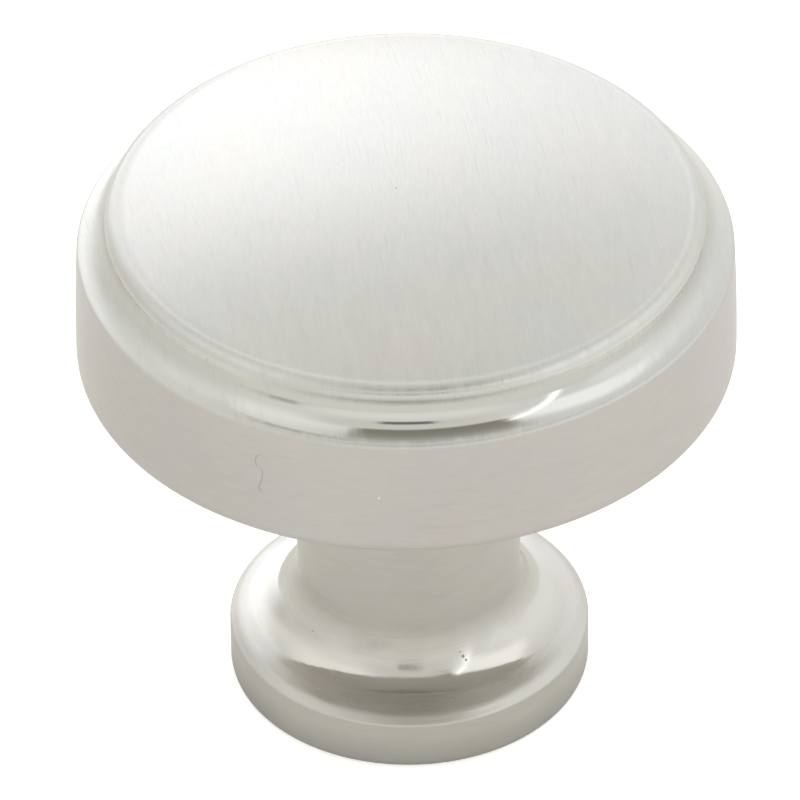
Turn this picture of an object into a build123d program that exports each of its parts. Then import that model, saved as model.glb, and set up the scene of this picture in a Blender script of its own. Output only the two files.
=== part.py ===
from build123d import *
import math
import os

# A round cabinet knob, die-cast in zinc as one piece and plated. Its form is a turned one: a broad head with
# a low dome, a waist for the fingers, and a flared foot with a tapped hole. Millimetres and degrees. Z is
# the knob's axis, and Z = 0 is the seat that lies against the door.

# Head
head_diameter = 31.75        # at the foot of the band, where the head is widest
grip_height = 19.05          # from the seat to the flat underside of the head
band_height = 6.42           # from the underside to the lip at the top of the band
band_draw_in = 0.16          # how far the band leans in at its lip
under_edge_radius = 0.75
lip_radius = 0.2

# Cove round the top, between the lip and the dome
ledge_width = 1.38           # from the lip in to the wall below the dome
ledge_slope = 20.0           # fall of the ledge towards the lip
cove_radius = 1.6            # hollow between the ledge and the wall
cove_height = 1.7            # from the lip up to the top of the wall

# Dome
rim_roll_width = 0.63        # the rolled rim, from the wall in to the edge of the dome
rim_roll_height = 0.52
rim_edge_radius = 0.15       # where the rolled rim turns down into the wall
dome_rise = 2.11             # from the edge of the dome to its crown

# Waist
neck_diameter = 10.9
neck_root_radius = 1.2       # hollow between the neck and the underside of the head

# Foot
foot_diameter = 17.58
foot_band_height = 2.68      # from the seat to the sharp lip of the foot
foot_bevel_width = 0.45      # the bevel above that lip
foot_bevel_height = 0.36
foot_slope = 10.4            # rise of the foot's upper face where it leaves the bevel
flare_slope = 33.5           # rise of the same face where it would run into the neck
flare_radius = 2.86          # hollow between that face and the neck
foot_lip_radius = 0.2
foot_bevel_radius = 0.8      # where the bevel turns into the upper face
seat_edge_radius = 0.45

# Tapped hole for a number 8 machine screw, 32 threads to the inch, drawn at its tapping drill
hole_diameter = 3.45
hole_depth = 14.0            # full-diameter length, from the seat
drill_point_angle = 118.0
mouth_diameter = 5.0         # of the lead-in at the seat
mouth_angle = 90.0

# The most that a fillet takes of the leg beside it, and the part of the ledge that is the lip's own
LEG_SHARE = 0.95
LIP_SHARE = 0.125


def rise(run, slope):
    """How far a face climbs over this run at this slope."""
    return run * math.tan(math.radians(slope))


def fitted(wanted, leg, turn):
    """The wanted fillet, or the largest that this leg has room for where the outline turns by this angle."""
    return min(wanted, LEG_SHARE * leg / math.tan(math.radians(turn / 2)))


def half_section():
    """The solid on one side of the axis: a closed outline of lines and arcs, with its corners rounded."""
    # Foot and waist
    foot_radius = foot_diameter / 2
    foot_lip = (foot_radius, foot_band_height)
    bevel_top = (foot_radius - foot_bevel_width, foot_band_height + foot_bevel_height)
    bevel_slope = math.degrees(math.atan2(foot_bevel_height, foot_bevel_width))
    bevel_leg = math.hypot(foot_bevel_width, foot_bevel_height) / 2
    neck_radius = neck_diameter / 2
    flare_width = bevel_top[0] - neck_radius
    flare_end = bevel_top[1] + rise(flare_width, (foot_slope + flare_slope) / 2)
    flare_start = (-math.cos(math.radians(foot_slope)), math.sin(math.radians(foot_slope)))

    # Band and cove
    head_radius = head_diameter / 2
    lip = head_radius - band_draw_in
    lip_height = grip_height + band_height
    wall = lip - ledge_width
    wall_foot = lip_height + rise(ledge_width, ledge_slope)
    wall_top = lip_height + cove_height
    wall_height = wall_top - wall_foot
    ledge_turn = 90 - ledge_slope
    cove = fitted(cove_radius, min(wall_height, ledge_width * (1 - LIP_SHARE)), ledge_turn)
    bare_wall = wall_height - rise(cove, ledge_turn / 2)

    # Dome
    dome_edge = (wall - rim_roll_width, wall_top + rim_roll_height)
    crown = (0, dome_edge[1] + dome_rise)

    with BuildSketch() as section:
        with BuildLine():
            Polyline((0, 0), (foot_radius, 0), foot_lip, bevel_top)
            TangentArc(bevel_top, (neck_radius, flare_end), tangent=flare_start)
            Polyline((neck_radius, flare_end), (neck_radius, grip_height), (head_radius, grip_height))
            TangentArc((head_radius, grip_height), (lip, lip_height), tangent=(0, 1))
            Polyline((lip, lip_height), (wall, wall_foot), (wall, wall_top))
            dome = TangentArc(crown, dome_edge, tangent=(1, 0))
            rim_roll = TangentArc(dome_edge, (wall, wall_top), tangent=dome % 1)
            Line(crown, (0, 0))
        make_face()

        rim_turn = (rim_roll % 1).get_angle(Vector(0, -1))
        flare_leg = min(flare_width, grip_height - flare_end) / 2
        rounding = [
            ((foot_radius, 0), fitted(seat_edge_radius, foot_band_height / 2, 90)),
            (foot_lip, fitted(foot_lip_radius, min(bevel_leg, foot_band_height / 2), 90 - bevel_slope)),
            (bevel_top, fitted(foot_bevel_radius, min(bevel_leg, flare_width / 2), bevel_slope - foot_slope)),
            ((neck_radius, flare_end), fitted(flare_radius, flare_leg, 90 - flare_slope)),
            ((neck_radius, grip_height), fitted(neck_root_radius, (head_radius - neck_radius) / 2, 90)),
            ((head_radius, grip_height), fitted(under_edge_radius, band_height / 2, 90)),
            ((lip, lip_height), fitted(lip_radius, ledge_width * LIP_SHARE, ledge_turn)),
            ((wall, wall_foot), cove),
            ((wall, wall_top), fitted(rim_edge_radius, bare_wall, rim_turn)),
        ]
        for corner, radius in rounding:
            fillet(section.vertices().sort_by_distance(corner)[0], radius)
    return section.sketch


def screw_hole():
    """Half section of the drilled hole: the lead-in at the seat, the wall, and the drill point's cone."""
    hole_radius = hole_diameter / 2
    mouth_radius = mouth_diameter / 2
    lead_in = (mouth_radius - hole_radius) / math.tan(math.radians(mouth_angle / 2))
    drill_point = hole_radius / math.tan(math.radians(drill_point_angle / 2))
    with BuildSketch() as section:
        with BuildLine():
            Polyline(
                (0, 0),
                (mouth_radius, 0),
                (hole_radius, lead_in),
                (hole_radius, hole_depth),
                (0, hole_depth + drill_point),
                close=True,
            )
        make_face()
    return section.sketch


def turned(section):
    """Turns a half section, drawn with X outwards and Y up the axis, right round the Z axis."""
    return revolve(Plane.XZ * section, axis=Axis.Z)


knob_body = turned(half_section()) - turned(screw_hole())
knob_body.label = "knob_body"

os.makedirs("parts", exist_ok=True)
export_step(knob_body, "parts/knob_body.step")

size = knob_body.bounding_box().size
print(f"knob_body {size.X:.2f} x {size.Y:.2f} x {size.Z:.2f} mm, {knob_body.volume:.0f} mm3")
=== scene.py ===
import math

import bpy
import numpy as np
from mathutils import Matrix, Vector


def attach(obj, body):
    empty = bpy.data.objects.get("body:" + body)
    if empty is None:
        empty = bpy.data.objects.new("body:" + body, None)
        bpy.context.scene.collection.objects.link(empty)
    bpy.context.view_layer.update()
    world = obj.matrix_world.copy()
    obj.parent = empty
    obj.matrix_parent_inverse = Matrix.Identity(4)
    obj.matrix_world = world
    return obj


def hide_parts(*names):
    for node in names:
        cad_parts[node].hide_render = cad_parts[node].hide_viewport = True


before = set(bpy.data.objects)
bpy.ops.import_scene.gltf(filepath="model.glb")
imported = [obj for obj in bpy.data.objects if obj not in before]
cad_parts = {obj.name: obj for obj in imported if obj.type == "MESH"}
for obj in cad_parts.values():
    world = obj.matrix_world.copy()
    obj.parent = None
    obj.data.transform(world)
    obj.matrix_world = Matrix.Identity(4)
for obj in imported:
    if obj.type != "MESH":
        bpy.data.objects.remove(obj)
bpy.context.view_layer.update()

bpy.context.scene.view_settings.view_transform = "Standard"

# Screw hole
# A blind hole in the zinc casting for a number 8 machine screw, 32 threads to the inch. It is drilled,
# countersunk at the seat and tapped after plating, so its wall is bare cut metal. Sizes are in millimetres.
hole_radius = 1.725
hole_depth = 14.0
drill_angle = math.radians(118)
drill_point = hole_radius / math.tan(drill_angle / 2)
mouth_radius = 2.5
lead_in = mouth_radius - hole_radius     # a countersink of a right angle is as deep as it is wide
burr_edge = 0.06
bare_ring = 0.4                          # the countersink has cut the plate away this far round its mouth
bare_seat = mouth_radius + bare_ring
inch = 25.4
thread_pitch = inch / 32
thread_radius = 2.083
thread_top = hole_depth - thread_pitch / 2
thread_foot = lead_in + burr_edge
rows_per_thread = 9


def bend(start, heading, end, rows):
    """Rows (radius, height, heading) on the arc that leaves start along heading and stops at end.

    The chord lies midway between the first and last headings, so the arc turns by twice the angle between
    the chord and the first heading. Heading 0 runs away from the axis and a quarter turn runs up it."""
    chord = np.subtract(end, start)
    slant = math.atan2(chord[1], chord[0]) - heading
    turn = 2 * math.atan2(math.sin(slant), math.cos(slant))
    radius = np.linalg.norm(chord) / (2 * math.sin(turn / 2))
    headings = heading + turn * np.linspace(0, 1, rows)
    out = start[0] + radius * (np.sin(headings) - math.sin(heading))
    up = start[1] - radius * (np.cos(headings) - math.cos(heading))
    return np.column_stack([out, up, headings])


def rounded(corners, leg_rows, bend_rows):
    """Rows (radius, height, heading) along straight legs between corners, each (radius, height, rounding).

    A leg is cut short at each corner by the rounding times the tangent of half the turn, and an arc joins
    the two cut ends."""
    point = np.array([corner[:2] for corner in corners], float)
    leg = np.diff(point, axis=0)
    heading = np.unwrap(np.arctan2(leg[:, 1], leg[:, 0]))
    way = leg / np.linalg.norm(leg, axis=1)[:, None]
    half_turn = np.diff(heading) / 2
    cut = np.r_[0, [corner[2] for corner in corners[1:-1]] * np.abs(np.tan(half_turn)), 0]
    stretches = []
    for i in range(len(leg)):
        share = np.linspace(0, 1, leg_rows)[:, None]
        first = point[i] + way[i] * cut[i]
        last = point[i + 1] - way[i] * cut[i + 1]
        stretches.append(np.hstack([first + (last - first) * share, np.full_like(share, heading[i])]))
        if i + 1 < len(leg):
            after = point[i + 1] + way[i + 1] * cut[i + 1]
            stretches.append(bend(last, heading[i], after, bend_rows))
    return np.vstack(stretches)


hole_rows = np.vstack([
    rounded([
        (0, hole_depth + drill_point, 0),
        (hole_radius, hole_depth, burr_edge),
        (hole_radius, thread_top, 0),
    ], leg_rows=4, bend_rows=4),
    rounded([
        (hole_radius, thread_top, 0),
        (hole_radius, thread_foot, 0),
    ], leg_rows=int(rows_per_thread * (thread_top - thread_foot) / thread_pitch), bend_rows=0),
    rounded([
        (hole_radius, thread_foot, 0),
        (hole_radius, lead_in, burr_edge / 2),
        (mouth_radius, 0, burr_edge),
        (bare_seat, 0, 0),
    ], leg_rows=3, bend_rows=4),
])

# Foot
# The round foot that stands on the door: a flat seat, a low upright band, a bevelled lip and a face that
# sweeps up in a hollow to the neck. The brush wheel only skims the hollow, so it keeps the plate's mirror.
foot_radius = 8.79
foot_band_height = 2.68
seat_edge = 0.45
foot_lip = 0.2
bevel_rounding = 0.8
foot_slope = math.radians(10.4)
flare_slope = math.radians(33.5)
flare_hollow = 2.86
neck_radius = 5.45
waist_height = 9.0
bevel = np.array([-0.45, 0.36])          # from the lip, inwards and up
bevel_way = bevel / np.linalg.norm(bevel)
bevel_normal = np.array([bevel_way[1], -bevel_way[0]])
bevel_top = np.array([foot_radius, foot_band_height]) + bevel
sweep_chord = (bevel_top[0] - neck_radius) / math.cos((foot_slope + flare_slope) / 2)
sweep_radius = sweep_chord / (2 * math.sin((flare_slope - foot_slope) / 2))
sweep_centre = bevel_top + sweep_radius * np.array([math.sin(foot_slope), math.cos(foot_slope)])


def first_meeting(start, way, away):
    """The first point on the line from start along this way that lies this far from the sweep's centre."""
    offset = sweep_centre - start
    middle = np.dot(way, offset)
    return start + way * (middle - math.sqrt(away ** 2 + middle ** 2 - np.dot(offset, offset)))


bevel_centre = first_meeting(
    bevel_top - bevel_rounding * bevel_normal, bevel_way, sweep_radius + bevel_rounding)
hollow_centre = first_meeting(
    np.array([neck_radius + flare_hollow, 0]), np.array([0, 1]), sweep_radius - flare_hollow)
bevel_end = bevel_centre + bevel_rounding * bevel_normal
sweep_start = sweep_centre + (bevel_centre - sweep_centre) * sweep_radius / (sweep_radius + bevel_rounding)
sweep_end = sweep_centre + (hollow_centre - sweep_centre) * sweep_radius / (sweep_radius - flare_hollow)
foot_rows = rounded([
    (bare_seat, 0, 0),
    (foot_radius, 0, seat_edge),
    (foot_radius, foot_band_height, foot_lip),
    (*bevel_end, 0),
], leg_rows=8, bend_rows=16)
for end, rows in ((sweep_start, 16), (sweep_end, 14), ((neck_radius, hollow_centre[1]), 34)):
    foot_rows = np.vstack([foot_rows, bend(foot_rows[-1, :2], foot_rows[-1, 2], end, rows)])
foot_rows = np.vstack([foot_rows, (neck_radius, waist_height, math.pi / 2)])
# How far the brush reaches, from 0 in untouched bright plate to 1: full on the neck and on the lip, little
# in the hollow between them
flare_radii = [neck_radius, 5.7, 6.1, 6.5, 7.1, 7.5, 8.0, 8.5]
flare_reach = [1, 0.8, 0.45, 0.06, 0.06, 0.5, 0.85, 1]
foot_band_reach = 0.9
foot_reach = np.where(
    foot_rows[:, 1] < foot_band_height,
    foot_band_reach,
    np.interp(foot_rows[:, 0], flare_radii, flare_reach))

# Neck and underside
# The waist that the fingers close behind, and the flat underside of the head that shades it. Both are
# turned faces of the same casting, plated and brushed round the axis; the corner between them is hollow.
grip_height = 19.05
neck_root = 1.2
shade_radius = 11.0
neck_rows = rounded([
    (neck_radius, waist_height, 0),
    (neck_radius, grip_height, neck_root),
    (shade_radius, grip_height, 0),
], leg_rows=8, bend_rows=14)
under_reach = 0.35           # the brush is light under the head
under_radius = 6.5           # from here out
neck_reach = np.interp(neck_rows[:, 0], [neck_radius, under_radius], [1, under_reach])

# Band
# The broad upright side of the head, drawn in a little towards the lip at its top. It is brushed round the
# axis, so its fine lines run level; the rolled lower edge hides the underside.
head_radius = 15.875
band_height = 6.42
band_draw_in = 0.16
under_edge = 0.75
lip_radius = head_radius - band_draw_in
lip_height = grip_height + band_height
lip_rounding = 0.2
ledge_width = 1.38
ledge_slope = math.radians(20)
band_low = (head_radius, grip_height + under_edge)
band_heading = math.pi / 2 + 2 * math.atan2(band_draw_in, band_height - under_edge)
lip_turn = math.pi - ledge_slope - band_heading
lip_cut = lip_rounding * math.tan(lip_turn / 2)
lip_start = (lip_radius - lip_cut * math.cos(band_heading), lip_height - lip_cut * math.sin(band_heading))
band_rows = np.vstack([
    rounded([
        (shade_radius, grip_height, 0),
        (head_radius, grip_height, under_edge),
        (*band_low, 0),
    ], leg_rows=8, bend_rows=16),
    bend(band_low, math.pi / 2, lip_start, 14),
])
band_reach = np.interp(band_rows[:, 0], [head_radius - under_edge, head_radius], [under_reach, 1])

# Cove
# The hollow ring between the lip and the dome: a ledge that falls to the lip, and a hollow that rises to a
# short upright wall. The belt that brushes the dome bridges it in front, so the plate stays bright there.
cove_radius = 1.6
cove_height = 1.7
wall_radius = lip_radius - ledge_width
wall_foot = lip_height + ledge_width * math.tan(ledge_slope)
wall_height = lip_height + cove_height
rim_rounding = 0.15
rim_width = 0.63
rim_height = 0.52
dome_rise = 2.11
dome_edge = (wall_radius - rim_width, wall_height + rim_height)
dome_heading = math.pi - 2 * math.atan2(dome_rise, dome_edge[0])
rim_heading = 2 * math.pi - 2 * math.atan2(rim_height, rim_width) - dome_heading
rim_way = (math.cos(rim_heading), math.sin(rim_heading))
rim_start = (wall_radius + rim_rounding * rim_way[0], wall_height + rim_rounding * rim_way[1])
cove_rows = rounded([
    (*lip_start, 0),
    (lip_radius, lip_height, lip_rounding),
    (wall_radius, wall_foot, cove_radius),
    (wall_radius, wall_height, rim_rounding),
    (*rim_start, 0),
], leg_rows=6, bend_rows=24)
# The brush reaches the lip, by the distance from the axis, and the top of the wall, by the height
cove_reach = np.maximum(
    np.interp(cove_rows[:, 0], [15.0, 15.3, 15.45, 15.55], [0.02, 0.1, 0.3, 1]),
    np.interp(cove_rows[:, 1], [26.3, 26.7, 27.0], [0, 0.3, 0.7]))

# Dome
# The low crowned top with a rolled rim that turns down into the cove. A straight belt has brushed it all
# one way, so its fine lines cross it side by side and run over the rim.
dome_rows = np.vstack([
    bend(rim_start, rim_heading, dome_edge, 14),
    bend(dome_edge, dome_heading, (0, dome_edge[1] + dome_rise), 70),
])
dome_reach = np.interp(dome_rows[:, 0], [13.9, 14.2], [1, 0.7])

# Casting
# All the stretches joined: one zinc die-casting, plated all over but for the thread, as one closed surface
# turned about the axis from the drill point, out over the seat and the head, to the crown.
MM = 0.001
around = 192
same_place = 1e-6
bare_zinc, by_wheel, by_belt = range(3)      # the finishes, in the order of the mesh's materials
stretches = [
    # finish, rows, reach of the brush
    (bare_zinc, hole_rows, 0),
    (by_wheel, foot_rows, foot_reach),
    (by_wheel, neck_rows, neck_reach),
    (by_wheel, band_rows, band_reach),
    (by_belt, cove_rows, cove_reach),
    (by_belt, dome_rows, dome_reach),
]
profile = np.vstack([rows for _, rows, _ in stretches])
finish, reach = (
    np.concatenate([np.broadcast_to(stretch[column], len(stretch[1])) for stretch in stretches])
    for column in (0, 2))
fresh = np.r_[True, np.linalg.norm(np.diff(profile[:, :2], axis=0), axis=1) > same_place]
profile, finish, reach = profile[fresh], finish[fresh], reach[fresh]
profile[[0, -1], 0] = 0


def thread_cut(height, angle):
    """How far the tap has cut past the drilled wall: a flattened V once a pitch, climbing a pitch a turn.

    It runs out smoothly over the last pitch at the lead-in and over the first at the drill point."""
    phase = (height / thread_pitch - angle / (2 * np.pi)) % 1
    vee = np.clip(1.3 * (1 - np.abs(2 * phase - 1)) - 0.1, 0, 1)
    run_in = np.clip((height - thread_foot) / thread_pitch, 0, 1)
    run_out = np.clip((thread_top - height) / thread_pitch, 0, 1)
    return (thread_radius - hole_radius) * vee * run_in * run_out


def turned_grid(rows, angle):
    """Points and outward normals of the profile carried round the axis, as rows by angles by 3.

    A point is (radius cos angle, radius sin angle, height), and its normal is the heading turned outwards.
    On the tapped wall the normals come from the slopes of the thread along the grid's two directions."""
    radius = np.repeat(rows[:, :1], len(angle), axis=1)
    height = np.repeat(rows[:, 1:2], len(angle), axis=1)
    on_wall = np.abs(rows[:, 0] - hole_radius) < same_place
    tapped = on_wall & (rows[:, 1] < thread_top) & (rows[:, 1] > thread_foot)
    radius[tapped] += thread_cut(height[tapped], angle)
    cos, sin = np.cos(angle), np.sin(angle)
    points = np.stack([radius * cos, radius * sin, height], axis=2)
    out, up = np.sin(rows[:, 2:3]), -np.cos(rows[:, 2:3])
    normals = np.stack([out * cos, out * sin, np.repeat(up, len(angle), axis=1)], axis=2)
    across = np.roll(points, -1, axis=1) - np.roll(points, 1, axis=1)
    slopes = np.cross(across, np.gradient(points, axis=0))
    normals[tapped] = slopes[tapped] / np.linalg.norm(slopes[tapped], axis=2)[:, :, None]
    return points, normals


def ring_faces(rings, count):
    """Quads between neighbouring rings, wound to face outwards, and the fans that close the two poles."""
    ring = np.arange(rings * count).reshape(rings, count)
    beside = np.roll(ring, -1, axis=1)
    quads = np.stack([ring[:-1], beside[:-1], beside[1:], ring[1:]], axis=2).reshape(-1, 4)
    first_pole, last_pole = rings * count, rings * count + 1
    first_fan = np.column_stack([np.full(count, first_pole), beside[0], ring[0]])
    last_fan = np.column_stack([ring[-1], beside[-1], np.full(count, last_pole)])
    return quads.tolist() + first_fan.tolist() + last_fan.tolist()


angles = 2 * np.pi * np.arange(around) / around
points, normals = turned_grid(profile, angles)
rings = len(profile) - 2
points = np.vstack([points[1:-1].reshape(-1, 3), points[0, :1], points[-1, :1]]) * MM
normals = np.vstack([normals[1:-1].reshape(-1, 3), [[0, 0, -1], [0, 0, 1]]])
mesh = bpy.data.meshes.new("knob")
mesh.from_pydata(points, [], ring_faces(rings, around), shade_flat=False)
ring_finish = np.repeat(finish[2:-1], around)
mesh.polygons.foreach_set(
    "material_index", np.r_[ring_finish, np.full(around, finish[1]), np.full(around, finish[-1])])
mesh.normals_split_custom_set_from_vertices(normals)
travel = np.r_[0, np.cumsum(np.linalg.norm(np.diff(profile[:, :2], axis=0), axis=1))]
row_of_point = np.r_[np.repeat(np.arange(1, rings + 1), around), 0, rings + 1]
for name, values in (("travel", travel), ("reach", reach)):
    attribute = mesh.attributes.new(name, "FLOAT", "POINT")
    attribute.data.foreach_set("value", values[row_of_point].astype(np.float32))
knob = bpy.data.objects.new("knob", mesh)
bpy.context.scene.collection.objects.link(knob)


def feed(tree, node, inputs):
    """Gives a node its inputs, each a value or another node's output."""
    for socket, source in inputs.items():
        if isinstance(source, bpy.types.NodeSocket):
            tree.links.new(source, node.inputs[socket])
        else:
            node.inputs[socket].default_value = source


def wire(tree, kind, inputs, **options):
    """The outputs of a new shader node with these inputs and these settings of its own."""
    node = tree.nodes.new("ShaderNode" + kind)
    for option, choice in options.items():
        setattr(node, option, choice)
    feed(tree, node, inputs)
    return node.outputs


def math_of(tree, operation, *sources):
    """The output of one Math node."""
    return wire(tree, "Math", dict(enumerate(sources)), operation=operation)[0]


def vector_of(tree, operation, *sources):
    """The vector output of one Vector Math node."""
    return wire(tree, "VectorMath", dict(enumerate(sources)), operation=operation)[0]


def grouped(tree, group, inputs):
    """The outputs of a node group placed in a tree."""
    node = tree.nodes.new("ShaderNodeGroup")
    node.node_tree = group
    feed(tree, node, inputs)
    return node.outputs


def new_group(name, inputs, outputs):
    """An empty node group with these named sockets, as (tree, its inputs by name, its output node)."""
    tree = bpy.data.node_groups.new(name, "ShaderNodeTree")
    for side, sockets in (("INPUT", inputs), ("OUTPUT", outputs)):
        for kind, names in sockets.items():
            for socket in names:
                tree.interface.new_socket(socket, in_out=side, socket_type="NodeSocket" + kind)
    given = tree.nodes.new("NodeGroupInput").outputs
    return tree, given, tree.nodes.new("NodeGroupOutput")


def satin_plate_group():
    """Nickel plate under an abrasive that has moved one way over it, with X across its lines.

    Stretched noise makes fine lines, broader bundles of them and a few deep scratches, all fading out with
    the brush's reach, which ends raggedly, and low waves that the polisher left in the bright plate. Slow
    noise drifts the plate between two tints. Soil and painted shade dull it, and painted light brightens
    it."""
    tree, given, out = new_group(
        "satin_plate",
        {"Vector": ["Place", "Body"],
         "Float": ["Reach", "Line width", "Line length", "Streaks", "Satin", "Bright", "Waves", "Soil and painted light"],
         "Color": ["Cool", "Warm"]},
        {"Color": ["Color"], "Float": ["Roughness", "Height"]})
    across = math_of(tree, "DIVIDE", 1.0, given["Line width"])
    along = math_of(tree, "DIVIDE", 1.0, given["Line length"])
    scale = wire(tree, "CombineXYZ", {0: across, 1: along, 2: along})[0]
    place = vector_of(tree, "MULTIPLY", given["Place"], scale)
    # Fine lines, bundles of lines and deep scratches
    fine = wire(tree, "TexNoise", {"Vector": place, "Scale": 1.0, "Detail": 1.0})[0]
    bundle_place = vector_of(tree, "MULTIPLY_ADD", place, (0.27, 0.33, 0.33), (7.3, 2.1, 4.7))
    bundle = wire(tree, "TexNoise", {"Vector": bundle_place, "Scale": 1.0, "Detail": 2.0})[0]
    scratch_place = vector_of(tree, "MULTIPLY_ADD", place, (0.8, 0.35, 0.35), (31.0, 7.7, 3.9))
    scratch_noise = wire(tree, "TexNoise", {"Vector": scratch_place, "Scale": 1.0, "Detail": 0.0})[0]
    scratch = wire(tree, "MapRange", {"Value": scratch_noise, "From Min": 0.66, "From Max": 0.78})[0]
    # The ragged edge of the brush's reach
    edge = math_of(tree, "MULTIPLY", given["Reach"], math_of(tree, "SUBTRACT", 1.0, given["Reach"]))
    ragged = math_of(tree, "MULTIPLY", edge, math_of(tree, "MULTIPLY_ADD", bundle, 5.0, -2.5))
    reached = math_of(tree, "ADD", given["Reach"], ragged)
    # Colour
    swing = math_of(tree, "MULTIPLY_ADD", bundle, 1.2, math_of(tree, "ADD", fine, -1.1))
    swing = math_of(tree, "MULTIPLY_ADD", scratch, -0.25, swing)
    gain = math_of(tree, "MULTIPLY_ADD", math_of(tree, "MULTIPLY", swing, reached), given["Streaks"], 1.0)
    gain = math_of(tree, "MULTIPLY", gain, math_of(tree, "MULTIPLY_ADD", given["Soil and painted light"], -0.6, 1.0))
    drift = wire(tree, "TexNoise", {"Vector": given["Body"], "Scale": 0.3, "Detail": 3.0})[0]
    share = wire(tree, "MapRange", {"Value": drift, "From Min": 0.35, "From Max": 0.65})[0]
    tint = wire(tree, "Mix", {0: share, 6: given["Cool"], 7: given["Warm"]}, data_type="RGBA")[2]
    colour = wire(tree, "VectorMath", {0: tint, "Scale": gain}, operation="SCALE")[0]
    # Roughness
    uneven = math_of(tree, "MULTIPLY_ADD", bundle, 0.10, math_of(tree, "SUBTRACT", given["Satin"], 0.05))
    rough = wire(tree, "Mix", {0: reached, 2: given["Bright"], 3: uneven})[0]
    rough = math_of(tree, "MULTIPLY_ADD", given["Soil and painted light"], 0.3, rough)
    # Height
    groove = math_of(tree, "MULTIPLY", fine, math_of(tree, "MULTIPLY_ADD", bundle, 0.8, 0.3))
    groove = math_of(tree, "MULTIPLY_ADD", scratch, -0.4, groove)
    wave_place = vector_of(tree, "MULTIPLY_ADD", given["Place"], (1.1, 0.4, 0.4), (3.0, 9.0, 6.0))
    waves = wire(tree, "TexNoise", {"Vector": wave_place, "Scale": 1.0, "Detail": 3.0})[0]
    waves = math_of(tree, "MULTIPLY", waves, given["Waves"])
    height = math_of(tree, "MULTIPLY_ADD", groove, reached, waves)
    feed(tree, out, {"Color": colour, "Roughness": rough, "Height": height})
    return tree


satin_plate = satin_plate_group()
line_depth = 0.01 * MM           # of the bump that the brush's lines make


def new_material(name):
    """A material with an empty node tree, as (material, tree)."""
    material = bpy.data.materials.new(name)
    material.use_nodes = True
    material.node_tree.nodes.clear()
    return material, material.node_tree


def body_place(tree):
    """The place on the knob in millimetres."""
    return vector_of(tree, "MULTIPLY", wire(tree, "TexCoord", {})["Object"], (1 / MM,) * 3)


def wheel_place(tree, body):
    """The place for lines that run round the axis: X is the way along the profile, Y and Z lie round it."""
    travelled = wire(tree, "Attribute", {}, attribute_name="travel")["Fac"]
    parts = wire(tree, "SeparateXYZ", {0: body})
    return wire(tree, "CombineXYZ", {0: travelled, 1: parts[0], 2: parts[1]})[0]


def spot_group():
    """A round spot: full within two fifths of its size from the centre, and gone beyond its size."""
    tree, given, out = new_group(
        "spot", {"Vector": ["Body", "Centre"], "Float": ["Size", "Strength"]}, {"Float": ["Soil and painted light"]})
    away = wire(tree, "VectorMath", {0: given["Body"], 1: given["Centre"]}, operation="DISTANCE")["Value"]
    inner = math_of(tree, "MULTIPLY", given["Size"], 0.4)
    soil_and_painted_light = wire(tree, "MapRange", {
        "Value": away, "From Min": inner, "From Max": given["Size"],
        "To Min": given["Strength"], "To Max": 0.0})[0]
    feed(tree, out, {"Soil and painted light": soil_and_painted_light})
    return tree


spot = spot_group()


def spotted(tree, body, soil_and_painted_light, spots):
    """Adds spots, each (degrees round from the right, radius, height, size, strength), to a value of soil
    and painted shade.
    """
    for turn, radius, height, size, strength in spots:
        turn = math.radians(turn)
        centre = (radius * math.cos(turn), radius * math.sin(turn), height)
        mark = grouped(tree, spot, {"Body": body, "Centre": centre, "Size": size, "Strength": strength})
        soil_and_painted_light = math_of(tree, "ADD", soil_and_painted_light, mark["Soil and painted light"])
    return soil_and_painted_light


def fibre_on(tree, body):
    """Soil of a dark fibre stuck to the band: its wander round the band is a curve over its height."""
    turn = math.radians(244)
    foot, length = 21.74, 2.255
    core, edge = 0.02, 0.055     # from its middle to where it starts to fade and to where it ends
    darkness = 0.3
    wander = [(0, 0.77), (0.13, 0.43), (0.30, 0.61), (0.43, 0.70), (0.57, 0.70), (0.66, 0.27), (0.78, 0.11),
              (0.88, 0.18), (1, 0.89)]
    span = 0.607                 # millimetres round the band for the whole of the curve's range
    rise = wire(tree, "SeparateXYZ", {0: body})[2]
    share = wire(
        tree, "MapRange", {"Value": rise, "From Min": foot, "From Max": foot + length}, clamp=False)[0]
    node = tree.nodes.new("ShaderNodeFloatCurve")
    curve = node.mapping.curves[0]
    for point, place in zip((curve.points[0], curve.points[1]), (wander[0], wander[-1])):
        point.location = place
    for place in wander[1:-1]:
        curve.points.new(*place)
    node.mapping.update()
    tree.links.new(share, node.inputs["Value"])
    middle = math_of(tree, "MULTIPLY_ADD", node.outputs[0], span, -span / 2)
    tangent = (-math.sin(turn), math.cos(turn), 0)
    outward = (math.cos(turn), math.sin(turn), 0)
    along = wire(tree, "VectorMath", {0: body, 1: tangent}, operation="DOT_PRODUCT")["Value"]
    ahead = wire(tree, "VectorMath", {0: body, 1: outward}, operation="DOT_PRODUCT")["Value"]
    away = math_of(tree, "ABSOLUTE", math_of(tree, "SUBTRACT", along, middle))
    mark = wire(tree, "MapRange", {
        "Value": away, "From Min": core, "From Max": edge, "To Min": darkness, "To Max": 0.0})[0]
    mark = math_of(tree, "MULTIPLY", mark, math_of(tree, "COMPARE", share, 0.5, 0.5))
    return math_of(tree, "MULTIPLY", mark, math_of(tree, "GREATER_THAN", ahead, 0.0))


# The plate drifts between a cool and a warm tint: a pair for the band, the waist and foot, and the dome
cool_band = (0.561, 0.546, 0.525, 1)
warm_band = (0.575, 0.546, 0.513, 1)
cool_waist = (0.561, 0.555, 0.518, 1)
warm_waist = (0.574, 0.555, 0.506, 1)
cool_dome = (0.566, 0.568, 0.537, 1)
warm_dome = (0.579, 0.567, 0.525, 1)


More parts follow.
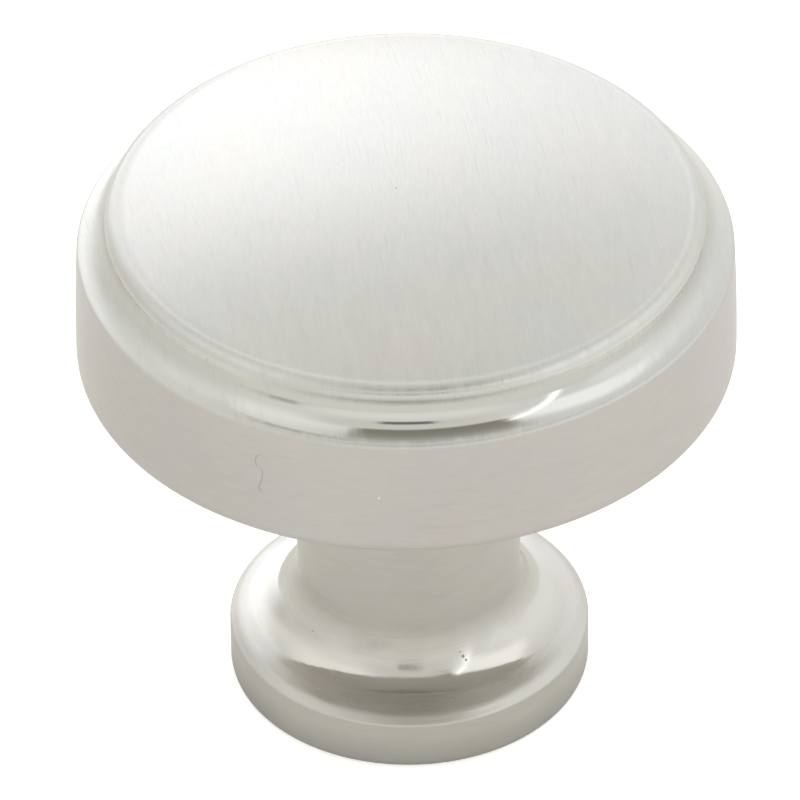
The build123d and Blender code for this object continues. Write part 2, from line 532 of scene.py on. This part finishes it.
def tapped_zinc():
    """Cut zinc in the tapped hole: dull grey, with the tap's fine scoring round the wall."""
    material, tree = new_material("tapped_zinc")
    body = body_place(tree)
    plate = grouped(tree, satin_plate, {
        "Place": wheel_place(tree, body), "Body": body, "Reach": 1.0,
        "Line width": 0.06, "Line length": 1.5, "Streaks": 0.3, "Satin": 0.42, "Bright": 0.3,
        "Waves": 0.0, "Soil and painted light": 0.0,
        "Cool": (0.42, 0.43, 0.44, 1), "Warm": (0.46, 0.45, 0.43, 1)})
    groove = wire(tree, "Bump", {"Height": plate["Height"], "Distance": line_depth})[0]
    metal = wire(tree, "BsdfPrincipled", {
        "Base Color": plate["Color"], "Metallic": 1.0, "Roughness": plate["Roughness"], "Normal": groove})
    wire(tree, "OutputMaterial", {"Surface": metal[0]})
    return material


def wheel_brushed():
    """The foot, the neck and the band: nickel brushed round the axis, so it scatters light up and down."""
    material, tree = new_material("wheel_brushed_nickel")
    body = body_place(tree)
    reached = wire(tree, "Attribute", {}, attribute_name="reach")["Fac"]
    rise = wire(tree, "SeparateXYZ", {0: body})[2]
    # Painted shade darkens the foot towards the seat, and the band and the foot on their left. Here and
    # there the plate has a speck or a smudge
    painted_seat_shade = wire(tree, "MapRange", {"Value": rise, "From Max": 1.9, "To Min": 0.44, "To Max": 0.0})[0]
    soil_and_painted_light = spotted(tree, body, math_of(tree, "ADD", painted_seat_shade, fibre_on(tree, body)), [
        (218.0, 15.80, 22.0, 9.0, 0.07),       # broad painted shade on the left of the band
        (203.0, 8.79, 0.30, 4.5, 0.13),        # and painted shade on the left of the foot
        (265.0, 15.83, 22.52, 0.07, -0.8),     # bright speck on the band
        (295.45, 6.02, 4.28, 0.10, 0.9),       # three pits in the flare
        (296.35, 6.16, 4.11, 0.08, 0.8),
        (294.5, 5.88, 4.48, 0.07, 0.6),
        (217.25, 5.91, 4.43, 0.06, 0.8),       # dark speck on the left of the flare
        (346.4, 8.79, 1.40, 0.11, 0.5),        # and one on the right of the foot
        (251.0, 5.66, 4.92, 0.40, 0.07),       # smudge where the flare meets the neck
        (254.5, 5.62, 5.02, 0.50, 0.08),
        (259.0, 5.60, 5.08, 0.40, 0.06),
    ])
    # The tints change from the waist's to the band's under the head
    head = wire(tree, "MapRange", {"Value": rise, "From Min": 17.0, "From Max": 19.5})[0]
    tints = [
        wire(tree, "Mix", {0: head, 6: below, 7: above}, data_type="RGBA")[2]
        for below, above in ((cool_waist, cool_band), (warm_waist, warm_band))]
    plate = grouped(tree, satin_plate, {
        "Place": wheel_place(tree, body), "Body": body, "Reach": reached,
        "Line width": 0.13, "Line length": 0.9, "Streaks": 0.085, "Satin": 0.40, "Bright": 0.06,
        "Waves": 1.1, "Soil and painted light": soil_and_painted_light,
        "Cool": tints[0], "Warm": tints[1]})
    groove = wire(tree, "Bump", {"Height": plate["Height"], "Distance": line_depth})[0]
    round_axis = wire(tree, "Tangent", {}, direction_type="RADIAL", axis="Z")[0]
    metal = wire(tree, "BsdfPrincipled", {
        "Base Color": plate["Color"], "Metallic": 1.0, "Roughness": plate["Roughness"], "Normal": groove,
        "Anisotropic": 0.75, "Anisotropic Rotation": 0.25, "Tangent": round_axis})
    wire(tree, "OutputMaterial", {"Surface": metal[0]})
    return material


def belt_brushed():
    """The dome and the cove: nickel brushed straight by a belt, so it scatters light from side to side."""
    material, tree = new_material("belt_brushed_nickel")
    belt_angle = math.radians(8.5)   # from straight front to back, towards the left at the back
    body = body_place(tree)
    reached = wire(tree, "Attribute", {}, attribute_name="reach")["Fac"]
    place = wire(tree, "Mapping", {"Vector": body, "Rotation": (0, 0, -belt_angle)})[0]
    # The belt bridges the cove in front and behind, and its edges run along the cove at the two sides
    aside = math_of(tree, "ABSOLUTE", wire(tree, "SeparateXYZ", {0: place})[0])
    beside = wire(tree, "MapRange", {
        "Value": aside, "From Min": 6.5, "From Max": 11.0, "To Min": 0.0, "To Max": 0.85},
        interpolation_type="SMOOTHSTEP")[0]
    reached = math_of(tree, "MAXIMUM", reached, beside)
    # Painted shade darkens the crease under the rim in front, and painted light brightens the crease round
    # the rest of the ring
    crease_height = wall_height - 0.09
    parts = wire(tree, "SeparateXYZ", {0: body})
    from_crease = math_of(tree, "ABSOLUTE", math_of(tree, "SUBTRACT", parts[2], crease_height))
    painted_crease = wire(tree, "MapRange", {
        "Value": from_crease, "From Min": 0.03, "From Max": 0.24, "To Min": 0.45, "To Max": 0.0})[0]
    front = (0.0, -wall_radius, wall_height)
    from_front = wire(tree, "VectorMath", {0: body, 1: front}, operation="DISTANCE")["Value"]
    front_shade_side_light = wire(tree, "MapRange", {
        "Value": from_front, "From Min": 0.5, "From Max": 9.0, "To Min": 1.0, "To Max": -0.55})[0]
    # Painted shade darkens the dome's edge on the left, and there is a speck by the crown
    level = vector_of(tree, "MULTIPLY", body, (1, 1, 0))
    from_axis = wire(tree, "VectorMath", {0: level}, operation="LENGTH")["Value"]
    from_edge = math_of(tree, "ABSOLUTE", math_of(tree, "SUBTRACT", from_axis, dome_edge[0]))
    painted_edge_shade = wire(tree, "MapRange", {
        "Value": from_edge, "From Min": 0.1, "From Max": 0.4, "To Min": 0.11, "To Max": 0.0})[0]
    at_left = wire(tree, "MapRange", {"Value": parts[0], "From Min": -6.0, "From Max": -10.0})[0]
    soil_and_painted_light = math_of(tree, "MULTIPLY_ADD", painted_edge_shade, at_left, math_of(tree, "MULTIPLY", painted_crease, front_shade_side_light))
    soil_and_painted_light = spotted(tree, body, soil_and_painted_light, [(253.3, 1.43, 29.78, 0.06, 0.7)])
    plate = grouped(tree, satin_plate, {
        "Place": place, "Body": body, "Reach": reached, "Line width": 0.13, "Line length": 0.8,
        "Streaks": 0.09, "Satin": 0.40, "Bright": 0.07, "Waves": 0.3, "Soil and painted light": soil_and_painted_light,
        "Cool": cool_dome, "Warm": warm_dome})
    groove = wire(tree, "Bump", {"Height": plate["Height"], "Distance": line_depth})[0]
    across = wire(tree, "CombineXYZ", {0: math.cos(belt_angle), 1: math.sin(belt_angle)})[0]
    metal = wire(tree, "BsdfPrincipled", {
        "Base Color": plate["Color"], "Metallic": 1.0, "Roughness": plate["Roughness"], "Normal": groove,
        "Anisotropic": 0.70, "Tangent": across})
    wire(tree, "OutputMaterial", {"Surface": metal[0]})
    return material


for knob_finish in (tapped_zinc(), wheel_brushed(), belt_brushed()):
    mesh.materials.append(knob_finish)
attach(knob, "root")
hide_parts("knob_body")

# Floor
# The plain white table that the knob stands on, wide enough to fill every view. It glows a little, most
# for the camera, so that it shows white with only a faint shadow by the foot. It is clear from underneath
# and for rays that leave the seat, so that the seat and the hole show there.
floor_half = 2.0
floor_drop = 0.00002
seat_ray = 5 * floor_drop        # a ray that leaves the seat meets the table within this length
camera_glow = 0.50
mirror_glow = 0.04
floor_line = np.linspace(-floor_half, floor_half, 3)
floor_x, floor_y = np.meshgrid(floor_line, floor_line)
floor_points = np.column_stack([floor_x.ravel(), floor_y.ravel(), np.full(floor_x.size, -floor_drop)])
floor_mesh = bpy.data.meshes.new("floor")
floor_mesh.from_pydata(floor_points, [], [(0, 1, 4, 3), (1, 2, 5, 4), (3, 4, 7, 6), (4, 5, 8, 7)])
floor = bpy.data.objects.new("floor", floor_mesh)
bpy.context.scene.collection.objects.link(floor)
floor_material, floor_tree = new_material("white_table")
path = wire(floor_tree, "LightPath", {})
mirrored = math_of(floor_tree, "ADD", path["Is Glossy Ray"], path["Is Transmission Ray"])
glow = math_of(floor_tree, "MULTIPLY", mirrored, mirror_glow)
glow = math_of(floor_tree, "MULTIPLY_ADD", path["Is Camera Ray"], camera_glow, glow)
paper = wire(floor_tree, "BsdfPrincipled", {
    "Base Color": (0.90, 0.89, 0.85, 1), "Roughness": 0.9, "Specular IOR Level": 0.0,
    "Emission Color": (0.96, 0.98, 1, 1), "Emission Strength": glow})[0]
underneath = wire(floor_tree, "NewGeometry", {})["Backfacing"]
from_seat = math_of(floor_tree, "LESS_THAN", path["Ray Length"], seat_ray)
see_through = math_of(floor_tree, "MAXIMUM", underneath, from_seat)
clear = wire(floor_tree, "BsdfTransparent", {})[0]
table = wire(floor_tree, "MixShader", {0: see_through, 1: paper, 2: clear})[0]
wire(floor_tree, "OutputMaterial", {"Surface": table})
floor_mesh.materials.append(floor_material)

# Studio
# Pale walls all round, with a bright screen behind, a soft box high on each side and a narrow strip light.
# A dark boom hangs overhead, and the dark camera shows in the bright hollows of the knob.


def panel_group():
    """How much of a direction falls on a flat panel: the direction is laid onto the panel's plane, and the
    share fades across each edge."""
    tree, given, out = new_group(
        "studio_panel",
        {"Vector": ["Direction", "Facing", "Side", "Top"],
         "Float": ["Half width", "Half height", "Side softness", "Top softness"]},
        {"Float": ["Share"]})
    facing = {0: given["Direction"], 1: given["Facing"]}
    ahead = wire(tree, "VectorMath", facing, operation="DOT_PRODUCT")["Value"]
    depth = math_of(tree, "MAXIMUM", ahead, 0.001)
    share = math_of(tree, "GREATER_THAN", ahead, 0.0)
    axes = ("Side", "Half width", "Side softness"), ("Top", "Half height", "Top softness")
    for axis, half, softness in axes:
        along = {0: given["Direction"], 1: given[axis]}
        away = wire(tree, "VectorMath", along, operation="DOT_PRODUCT")["Value"]
        away = math_of(tree, "DIVIDE", math_of(tree, "ABSOLUTE", away), depth)
        inside = wire(tree, "MapRange", {
            "Value": away,
            "From Min": math_of(tree, "SUBTRACT", given[half], given[softness]),
            "From Max": math_of(tree, "ADD", given[half], given[softness]),
            "To Min": 1.0, "To Max": 0.0}, interpolation_type="SMOOTHSTEP")[0]
        share = math_of(tree, "MULTIPLY", share, inside)
    feed(tree, out, {"Share": share})
    return tree


world = bpy.data.worlds.new("studio")
bpy.context.scene.world = world
world.use_nodes = True
sky = world.node_tree
sky.nodes.clear()
studio_panel = panel_group()
direction = wire(sky, "TexCoord", {})["Generated"]
height = wire(sky, "SeparateXYZ", {0: direction})[2]
above = wire(sky, "MapRange", {"Value": height, "From Min": 0.0, "From Max": 0.3})[0]
low_wall = (0.98, 0.965, 0.935, 1)
high_wall = (1.04, 1.04, 1.04, 1)
light = wire(sky, "Mix", {0: above, 6: low_wall, 7: high_wall}, data_type="RGBA")[2]
# Each panel lies on a plane that faces the knob from an azimuth, counted from the front to the right, and
# an elevation, in degrees. Its edges and their softness are in shares of the plane's distance, and a later
# panel hangs in front of an earlier one.
panels = [
    # azimuth, elevation, left, right, bottom, top, side softness, top softness, colour
    # Grey screen low on the left, and a pale patch over it
    (-118, 12, -0.85, 0.85, -0.55, 0.20, 0.35, 0.20, (0.89, 0.88, 0.86)),
    (-133, 32, -0.24, 0.24, -0.12, 0.12, 0.20, 0.14, (1.18, 1.18, 1.17)),
    # Pale wall on the right
    (119, 15, -1.2, 1.2, -0.4, 0.4, 0.30, 0.35, (1.21, 1.22, 1.24)),
    # Bright screen behind
    (193.8, -3, -0.34, 0.34, -1.15, 1.15, 0.48, 0.55, (2.14, 2.17, 2.29)),
    # Soft box high on the left
    (-80, 54, -0.50, 0.50, -0.30, 0.30, 0.28, 0.28, (1.27, 1.27, 1.26)),
    # Pale sheet low in front, and a dark stand on its left
    (0, 15, -0.60, 0.60, -0.20, 0.16, 0.25, 0.12, (1.15, 1.14, 1.12)),
    (-44, 5, -0.11, 0.11, -0.20, 0.12, 0.03, 0.08, (0.62, 0.61, 0.57)),
    # Soft box high on the right, and the strip light in front of it
    (82, 50, -0.45, 0.45, -0.27, 0.27, 0.15, 0.12, (1.45, 1.46, 1.49)),
    (52, 32, -0.028, 0.028, -0.42, 0.65, 0.02, 0.05, (2.40, 2.40, 2.40)),
    # Greyer wall round the camera, and the camera
    (0, 45, -0.45, 0.45, -0.2, 0.25, 0.20, 0.12, (0.95, 0.94, 0.90)),
    (0, 38.3, -0.14, 0.14, -0.08, 0.08, 0.03, 0.03, (0.25, 0.24, 0.22)),
    # Boom overhead, the pale ceiling past its end, and the clamp beside that
    (0, 45, -0.22, 0.46, 0.27, 1.80, 0.04, 0.08, (0.34, 0.32, 0.28)),
    (0, 45, -0.40, 0.64, 1.54, 4.0, 0.06, 1.3, (1.04, 1.03, 1.00)),
    (0, 45, -0.75, -0.20, 1.55, 2.05, 0.08, 0.15, (0.68, 0.67, 0.63)),
]
for azimuth, elevation, left, right, bottom, top, side_softness, top_softness, colour in panels:
    turn = math.radians(azimuth)
    lift = math.radians(elevation)
    facing = Vector((math.sin(turn) * math.cos(lift), -math.cos(turn) * math.cos(lift), math.sin(lift)))
    side = Vector((math.cos(turn), math.sin(turn), 0))
    share = grouped(sky, studio_panel, {
        "Direction": direction, "Facing": facing,
        "Side": side - facing * (left + right) / 2, "Top": facing.cross(side) - facing * (bottom + top) / 2,
        "Half width": (right - left) / 2, "Half height": (top - bottom) / 2,
        "Side softness": side_softness, "Top softness": top_softness})["Share"]
    light = wire(sky, "Mix", {0: share, 6: light, 7: (*colour, 1)}, data_type="RGBA")[2]
studio_light = wire(sky, "Background", {"Color": light, "Strength": 1.0})[0]
backdrop = wire(sky, "Background", {"Color": (1, 1, 1, 1), "Strength": 1.0})[0]
# The camera alone sees the plain white backdrop. The metal mirrors the studio instead.
seen = wire(sky, "LightPath", {})["Is Camera Ray"]
mixed = wire(sky, "MixShader", {0: seen, 1: studio_light, 2: backdrop})[0]
wire(sky, "OutputWorld", {"Surface": mixed})

# Camera
# A long lens looking down at the knob from the front, with the frame turned a little on its axis and aimed
# a little to the left of the knob's own axis, as in the photograph.
view_elevation = math.radians(38.308)
view_roll = math.radians(-0.625)
view_distance = 0.4986
view_aim = Vector((-0.000342, 0, 0.015891))
view_back = Vector((0, -math.cos(view_elevation), math.sin(view_elevation)))
level_up = Vector((0, math.sin(view_elevation), math.cos(view_elevation)))
level_right = Vector((1, 0, 0))
view_right = level_right * math.cos(view_roll) + level_up * math.sin(view_roll)
view_up = level_up * math.cos(view_roll) - level_right * math.sin(view_roll)
camera_data = bpy.data.cameras.new("camera")
camera_data.sensor_width = 36
camera_data.lens = 464.4
camera_data.clip_start = 0.01
camera = bpy.data.objects.new("camera", camera_data)
camera.matrix_world = Matrix.Translation(view_aim + view_back * view_distance) @ Matrix(
    (view_right, view_up, view_back)).transposed().to_4x4()
bpy.context.scene.collection.objects.link(camera)
bpy.context.scene.camera = camera
